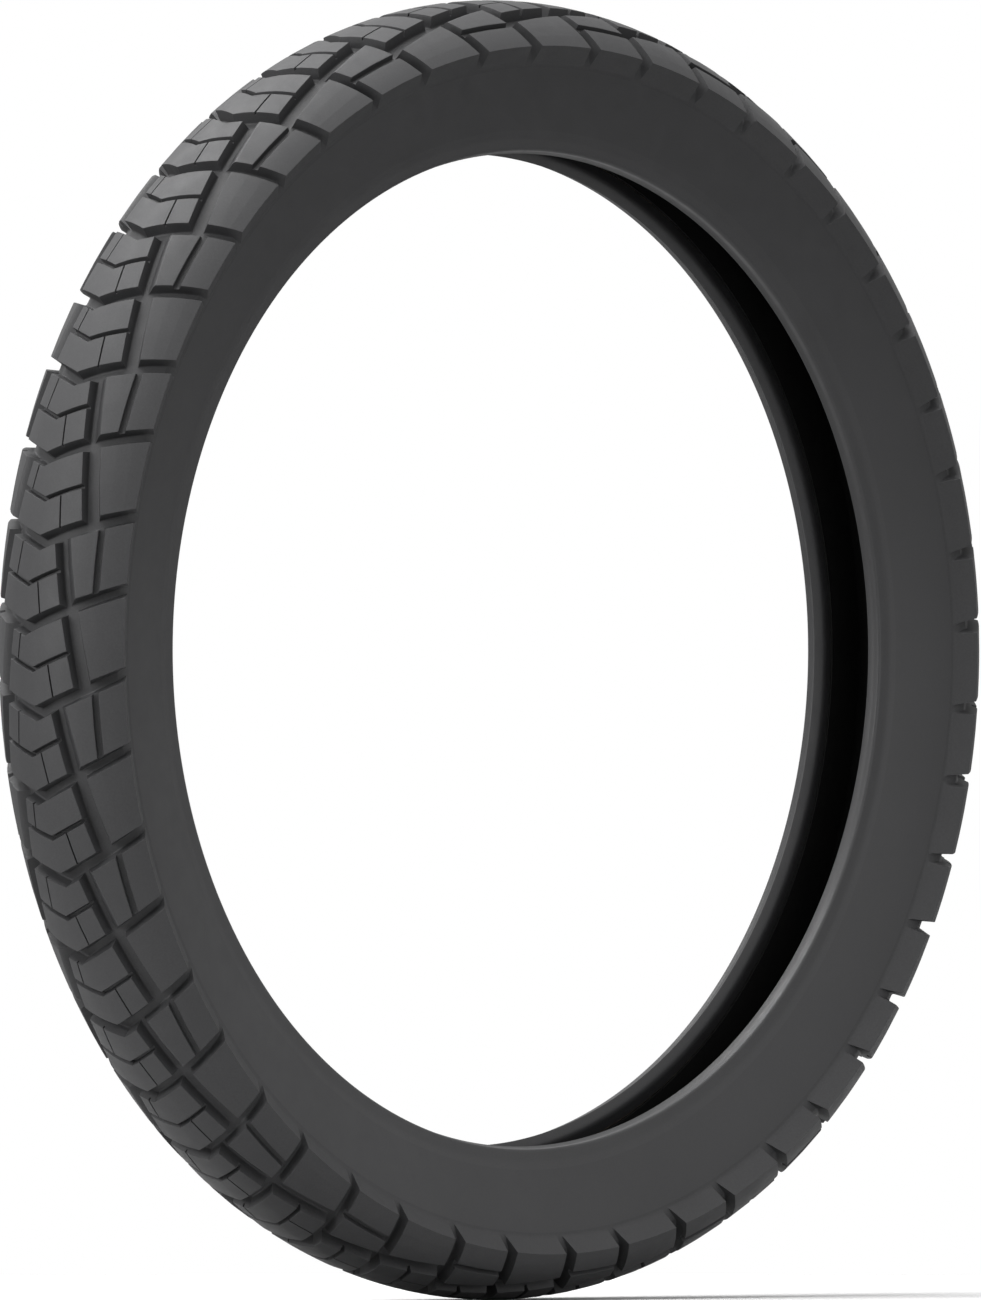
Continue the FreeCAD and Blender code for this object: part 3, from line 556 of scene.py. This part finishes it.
# --------------------------------------------------------------------------------------- materials
def new_material(name, roughness, specular):
    """A material with its nodes cleared to a shader and Object coordinates."""
    material = bpy.data.materials.new(name)
    material.use_nodes = True
    nodes = material.node_tree.nodes
    nodes.clear()
    shader = nodes.new("ShaderNodeBsdfPrincipled")
    shader.inputs["Roughness"].default_value = roughness
    shader.inputs["Specular IOR Level"].default_value = specular
    output = nodes.new("ShaderNodeOutputMaterial")
    material.node_tree.links.new(shader.outputs["BSDF"], output.inputs["Surface"])
    coords = nodes.new("ShaderNodeTexCoord")
    return material, shader, coords.outputs["Object"]


def noise(material, place, scale, detail=3.0, roughness=0.55):
    """The value of a noise texture."""
    texture = material.node_tree.nodes.new("ShaderNodeTexNoise")
    texture.inputs["Scale"].default_value = scale
    texture.inputs["Detail"].default_value = detail
    texture.inputs["Roughness"].default_value = roughness
    material.node_tree.links.new(place, texture.inputs["Vector"])
    return texture.outputs["Fac"]


def spread(material, value, low, high, start=0.3, end=0.7):
    """A value's range from start to end, brought to low and high."""
    node = material.node_tree.nodes.new("ShaderNodeMapRange")
    for name, number in (("From Min", start), ("From Max", end), ("To Min", low), ("To Max", high)):
        node.inputs[name].default_value = number
    material.node_tree.links.new(value, node.inputs["Value"])
    return node.outputs["Result"]


def tinted(material, colour, shades):
    """A colour multiplied by values, one after another."""
    tree = material.node_tree
    current = None
    for shade in shades:
        node = tree.nodes.new("ShaderNodeVectorMath")
        node.operation = "SCALE"
        if current is None:
            node.inputs[0].default_value = tuple(colour)[:3]
        else:
            tree.links.new(current, node.inputs[0])
        tree.links.new(shade, node.inputs["Scale"])
        current = node.outputs["Vector"]
    return current


def bump(material, shader, height, distance, strength=1.0, under=None):
    """Bumps a shader by a height, on top of another bump if there is one."""
    tree = material.node_tree
    node = tree.nodes.new("ShaderNodeBump")
    node.inputs["Strength"].default_value = strength
    node.inputs["Distance"].default_value = distance
    tree.links.new(height, node.inputs["Height"])
    if under:
        tree.links.new(under, node.inputs["Normal"])
    tree.links.new(node.outputs["Normal"], shader.inputs["Normal"])
    return node.outputs["Normal"]


def rubber(name, colour, roughness=0.62, specular=0.3, grain=900.0, grain_depth=0.02 * MM,
           speckle=0.12):
    """Moulded rubber: a fine grain, and slow changes of shade and gloss."""
    material, shader, place = new_material(name, roughness, specular)
    tree = material.node_tree
    fine = noise(material, place, grain, 2.0)
    broad = noise(material, place, 14.0, 3.0)
    patches = noise(material, place, 90.0, 4.0)
    shades = (spread(material, fine, 1 - speckle, 1 + speckle), spread(material, broad, 0.94, 1.06),
              spread(material, patches, 0.96, 1.04))
    tree.links.new(tinted(material, colour, shades), shader.inputs["Base Color"])
    gloss = spread(material, patches, roughness - 0.05, roughness + 0.06)
    tree.links.new(gloss, shader.inputs["Roughness"])
    first = bump(material, shader, fine, grain_depth)
    bump(material, shader, patches, grain_depth * 2, 0.5, first)
    return material


def corded(name, colour, lean, pitch=0.9 * MM):
    """Rubberised cord: ridges that run round at a slant, with lighter threads."""
    material, shader, place = new_material(name, 0.7, 0.25)
    tree = material.node_tree
    turn = tree.nodes.new("ShaderNodeMapping")
    turn.inputs["Rotation"].default_value = (0, lean, lean)
    tree.links.new(place, turn.inputs["Vector"])
    wave = tree.nodes.new("ShaderNodeTexWave")
    wave.inputs["Scale"].default_value = 0.314 / pitch
    wave.inputs["Distortion"].default_value = 0.6
    tree.links.new(turn.outputs["Vector"], wave.inputs["Vector"])
    fibres = noise(material, place, 1400.0, 4.0)
    shades = (spread(material, wave.outputs["Fac"], 0.55, 1.15, 0, 1),
              spread(material, fibres, 0.85, 1.1))
    tree.links.new(tinted(material, colour, shades), shader.inputs["Base Color"])
    tree.links.new(spread(material, fibres, 0.62, 0.82), shader.inputs["Roughness"])
    first = bump(material, shader, wave.outputs["Fac"], 0.15 * MM)
    bump(material, shader, fibres, 0.03 * MM, 0.6, first)
    return material


def bronzed_wire(name, colour):
    """Drawn steel wire with a thin bronze coat."""
    material, shader, place = new_material(name, 0.35, 0.5)
    tree = material.node_tree
    shader.inputs["Metallic"].default_value = 1.0
    drawn = tree.nodes.new("ShaderNodeMapping")
    drawn.inputs["Scale"].default_value = (1, 12, 1)
    tree.links.new(place, drawn.inputs["Vector"])
    lines = noise(material, drawn.outputs["Vector"], 700.0, 4.0)
    stain = noise(material, place, 60.0, 4.0)
    shades = (spread(material, stain, 0.8, 1.1), spread(material, lines, 0.92, 1.05))
    tree.links.new(tinted(material, colour, shades), shader.inputs["Base Color"])
    tree.links.new(spread(material, stain, 0.28, 0.5), shader.inputs["Roughness"])
    bump(material, shader, lines, 0.01 * MM)
    return material


# --------------------------------------------------------------------------------------- operators
class TIRE_OT_tread(bpy.types.Operator):
    """Builds the tread: two rows of blocks in each repeat, and the floor that carries them"""

    bl_idname = "tire.tread"
    bl_label = "Tread"

    def execute(self, context):
        settings = context.scene.tire_tread
        pattern = Pattern(settings)
        pattern.raise_blocks()
        pattern.cut(ACROSS_CUT, CUTS_A_REPEAT)
        pattern.bend()
        bm = pattern.bm
        one_repeat = list(bm.verts) + list(bm.edges) + list(bm.faces)
        for index in range(1, REPEATS):
            copy = bmesh.ops.duplicate(bm, geom=one_repeat)["geom"]
            verts = [item for item in copy if isinstance(item, bmesh.types.BMVert)]
            turn = Matrix.Rotation(-math.radians(REPEAT * index), 3, "Y")
            bmesh.ops.rotate(bm, verts=verts, cent=(0, 0, 0), matrix=turn)
        bmesh.ops.remove_doubles(bm, verts=bm.verts, dist=0.005 * MM)
        shoulder = arc_places(SHOULDER_PLACE, SHOULDER_ARC, CAP_END, CASING_END, 3)
        base = arc_places((CROWN_RADIUS - settings.crown_arc, 0),
                          settings.crown_arc - settings.depth - CAP_FLOOR, BASE_END, 6, 5)
        close_underside(bm, shoulder + base)
        bmesh.ops.recalc_face_normals(bm, faces=bm.faces)
        material = rubber("Moulded Tread Rubber", settings.colour)
        add_piece("tread", bm, ["tread_cap"], material, math.radians(30))
        return {"FINISHED"}


class TIRE_OT_sidewalls(bpy.types.Operator):
    """Builds both smooth sidewalls, from the tread's side face down to the beads"""

    bl_idname = "tire.sidewalls"
    bl_label = "Sidewalls"

    def execute(self, context):
        colour = context.scene.tire_casing.sidewall
        material = rubber("Satin Sidewall Rubber", colour, 0.5, 0.35, 1100.0, 0.012 * MM, 0.07)
        face = [sidewall_place(SIDEWALL_START + (1 - SIDEWALL_START) * index / SIDEWALL_STEPS)
                for index in range(SIDEWALL_STEPS + 1)]
        casing = arc_places(SHOULDER_PLACE, SHOULDER_ARC, 90 + SIDE_LEAN, CAP_END, 3)
        for name, side in SIDES:
            bm = ring_mesh(face + [CHAFER_OUTSIDE] + in_metres(TURNED_PLIES) + casing, side)
            add_piece(f"sidewall_rubber_{name}", bm, [f"sidewall_{name}"], material)
        return {"FINISHED"}


class TIRE_OT_beads(bpy.types.Operator):
    """Builds the hard rubber that wraps both beads, with the lip, heel, seat and toe"""

    bl_idname = "tire.beads"
    bl_label = "Beads"

    def execute(self, context):
        material = rubber("Hard Bead Rubber", context.scene.tire_casing.bead, 0.5, 0.4, 1300.0)
        heel = arc_places(HEEL_PLACE, HEEL_ROUND, 90, 180, 4)
        around = BEAD_WRAP + PLIES
        inside = arc_places(BEAD_PLACE, around + CHAFER, TOE_WRAP, 270 + SIDE_LEAN, 4)
        wrapped = arc_places(BEAD_PLACE, around, 270 + SIDE_LEAN, TURN_UP_END, 10)
        outline = [CHAFER_TOP] + in_metres(LIP) + heel + in_metres(TOE) + inside
        outline += in_metres(CHAFER_INSIDE) + wrapped + [CHAFER_OUTSIDE]
        for name, side in SIDES:
            bm = ring_mesh(outline, side)
            add_piece(f"bead_rubber_{name}", bm, [f"chafer_{name}"], material)
        return {"FINISHED"}


class TIRE_OT_liner(bpy.types.Operator):
    """Builds the air-tight skin inside the casing"""

    bl_idname = "tire.liner"
    bl_label = "Inner Liner"

    def execute(self, context):
        material = rubber("Inner Liner Rubber", context.scene.tire_casing.liner, 0.55, 0.25, 700.0)
        inward = math.radians(270 + SIDE_LEAN)
        upward = math.radians(SIDE_LEAN)
        half = []
        for depth in (PLIES, PLIES + LINER):
            side = arc_places(CASING_PLACE, CASING_ARC - depth, 0, CASING_END, 6)
            side += arc_places(SHOULDER_PLACE, SHOULDER_ARC - depth, LINER_START, 90 + SIDE_LEAN, 6)
            foot = Vector(BEAD_PLACE) + Vector((math.cos(inward), math.sin(inward))) * (BEAD_WRAP + depth)
            edge = foot + Vector((math.cos(upward), math.sin(upward))) * LINER_REACH
            half.append(side + [tuple(edge)])
        outer, inner = half
        mirrored = [[(up, -out) for up, out in side[1:]] for side in half]
        outline = outer + inner[::-1] + mirrored[1] + mirrored[0][::-1]
        bm = ring_mesh(outline, 1)
        add_piece("liner", bm, ["inner_liner"], material)
        return {"FINISHED"}


class TIRE_OT_layers(bpy.types.Operator):
    """Gives the layers inside the rubber their cord, wire and filler materials"""

    bl_idname = "tire.layers"
    bl_label = "Inside Layers"

    def execute(self, context):
        casing = context.scene.tire_casing
        finishes = {
            "tread_base": rubber("Soft Cushion Rubber", (0.03, 0.03, 0.03), 0.7, 0.2, 600.0),
            "bead_apex_left": rubber("Hard Filler Rubber", (0.025, 0.025, 0.025), 0.45, 0.35, 1200.0),
            "breaker_ply_outer": corded("Breaker Cord", casing.cord, math.radians(35)),
            "breaker_ply_inner": corded("Breaker Cord Crossed", casing.cord, math.radians(-35)),
            "carcass_ply_outer": corded("Carcass Cord", casing.cord, math.radians(60), 0.8 * MM),
            "carcass_ply_inner": corded("Carcass Cord Crossed", casing.cord, math.radians(-60), 0.8 * MM),
            "bead_wrap_left": corded("Square Woven Wrap", (0.14, 0.13, 0.11), math.radians(45), 0.6 * MM),
            "bead_core_left": bronzed_wire("Bronze Coated Bead Wire", casing.wire),
        }
        for node, material in list(finishes.items()):
            if node.endswith("left"):
                finishes[node.replace("left", "right")] = material
        for node, material in finishes.items():
            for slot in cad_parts[node].material_slots:
                slot.material = material
        return {"FINISHED"}


class TIRE_OT_stage(bpy.types.Operator):
    """Sets the pale floor, the soft light and the camera"""

    bl_idname = "tire.stage"
    bl_label = "Stage"

    def execute(self, context):
        settings = context.scene.tire_stage
        bm = bmesh.new()
        bmesh.ops.create_circle(bm, cap_ends=True, segments=96, radius=settings.floor_radius)
        bmesh.ops.translate(bm, verts=bm.verts, vec=(0, 0, CAD_BOX[0][2]))
        mesh = bpy.data.meshes.new("Floor")
        bm.to_mesh(mesh)
        bm.free()
        floor = bpy.data.objects.new("Floor", mesh)
        context.scene.collection.objects.link(floor)
        material, shader, place = new_material("Pale Floor", 0.8, 0.1)
        shades = (spread(material, noise(material, place, 3.0), 0.99, 1.0),)
        colour = tinted(material, settings.floor_colour, shades)
        material.node_tree.links.new(colour, shader.inputs["Base Color"])
        mesh.materials.append(material)
        self.light("Overhead", (0, 0, 2.2), (0, 0, 0), 1.2, settings.overhead)
        self.light("Rear", (-0.3, 1.2, 1.9), (0, 0, 0), 1.0, settings.behind)
        self.light("Slanted", (-1.3, 0, 1.8), (-0.1, 0, 0), 1.0, settings.slanted)
        self.light("Side", (-2.3, 0.3, 0.5), (0, 0, 0), 1.0, settings.ahead)
        self.light("Facing", (0, -2.3, 0.2), (0, 0, 0), 1.2, settings.facing)
        self.world(context, settings.ground, settings.sky)
        self.camera(context)
        context.scene.view_settings.view_transform = "Standard"
        return {"FINISHED"}

    def light(self, name, place, target, size, power):
        """A square soft light that looks at a target."""
        lamp = bpy.data.lights.new(name, "AREA")
        lamp.size = size
        lamp.energy = power
        lamp_object = bpy.data.objects.new(name, lamp)
        lamp_object.location = place
        lamp_object.rotation_euler = (Vector(target) - Vector(place)).to_track_quat("-Z", "Y").to_euler()
        bpy.context.scene.collection.objects.link(lamp_object)

    def world(self, context, ground, sky):
        """A white surround for the camera, and a bright sky over a dark ground to light the tire."""
        world = bpy.data.worlds.new("Studio")
        context.scene.world = world
        world.use_nodes = True
        tree = world.node_tree
        tree.nodes.clear()
        path = tree.nodes.new("ShaderNodeLightPath")
        mix = tree.nodes.new("ShaderNodeMixShader")
        seen, lit = [tree.nodes.new("ShaderNodeBackground") for _ in range(2)]
        seen.inputs["Color"].default_value = (1, 1, 1, 1)
        lit.inputs["Color"].default_value = (1, 1, 1, 1)
        place = tree.nodes.new("ShaderNodeTexCoord")
        split = tree.nodes.new("ShaderNodeSeparateXYZ")
        height = tree.nodes.new("ShaderNodeMapRange")
        tree.links.new(place.outputs["Generated"], split.inputs["Vector"])
        tree.links.new(split.outputs["Z"], height.inputs["Value"])
        for name, value in (("From Min", -0.08), ("From Max", 0.08), ("To Min", ground), ("To Max", sky)):
            height.inputs[name].default_value = value
        tree.links.new(height.outputs["Result"], lit.inputs["Strength"])
        output = tree.nodes.new("ShaderNodeOutputWorld")
        tree.links.new(path.outputs["Is Camera Ray"], mix.inputs["Fac"])
        tree.links.new(lit.outputs["Background"], mix.inputs[1])
        tree.links.new(seen.outputs["Background"], mix.inputs[2])
        tree.links.new(mix.outputs["Shader"], output.inputs["Surface"])

    def camera(self, context):
        """A long lens far away, half way between the front and the right side, level with the axle."""
        camera = bpy.data.cameras.new("Camera")
        camera.sensor_width = SENSOR
        camera.lens = SENSOR * CAMERA_DISTANCE / (2 * HALF_HEIGHT)
        camera.clip_end = 100
        camera.shift_x = CAMERA_SHIFT
        camera_object = bpy.data.objects.new("Camera", camera)
        towards = Vector((-1, -1, 0)).normalized()
        camera_object.location = towards * CAMERA_DISTANCE
        camera_object.rotation_euler = (-towards).to_track_quat("-Z", "Y").to_euler()
        context.scene.collection.objects.link(camera_object)
        context.scene.camera = camera_object


class TIRE_PT_panel(bpy.types.Panel):
    """Lists the steps that build the tire"""

    bl_idname = "TIRE_PT_panel"
    bl_label = "Tire"
    bl_space_type = "VIEW_3D"
    bl_region_type = "UI"
    bl_category = "Tire"

    def draw(self, context):
        for operator in OPERATORS:
            self.layout.operator(operator.bl_idname)


SETTINGS = {
    "tire_tread": TireTreadSettings,
    "tire_casing": TireCasingSettings,
    "tire_stage": TireStageSettings,
}
OPERATORS = (TIRE_OT_tread, TIRE_OT_sidewalls, TIRE_OT_beads, TIRE_OT_liner, TIRE_OT_layers, TIRE_OT_stage)


def register():
    for name, group in SETTINGS.items():
        bpy.utils.register_class(group)
        setattr(bpy.types.Scene, name, PointerProperty(type=group))
    for item in (*OPERATORS, TIRE_PT_panel):
        bpy.utils.register_class(item)


def unregister():
    for item in (TIRE_PT_panel, *reversed(OPERATORS)):
        bpy.utils.unregister_class(item)
    for name, group in reversed(SETTINGS.items()):
        delattr(bpy.types.Scene, name)
        bpy.utils.unregister_class(group)


def main():
    register()
    bpy.ops.tire.tread()
    bpy.ops.tire.sidewalls()
    bpy.ops.tire.beads()
    bpy.ops.tire.liner()
    bpy.ops.tire.layers()
    bpy.ops.tire.stage()


if __name__ == "__main__":
    main()
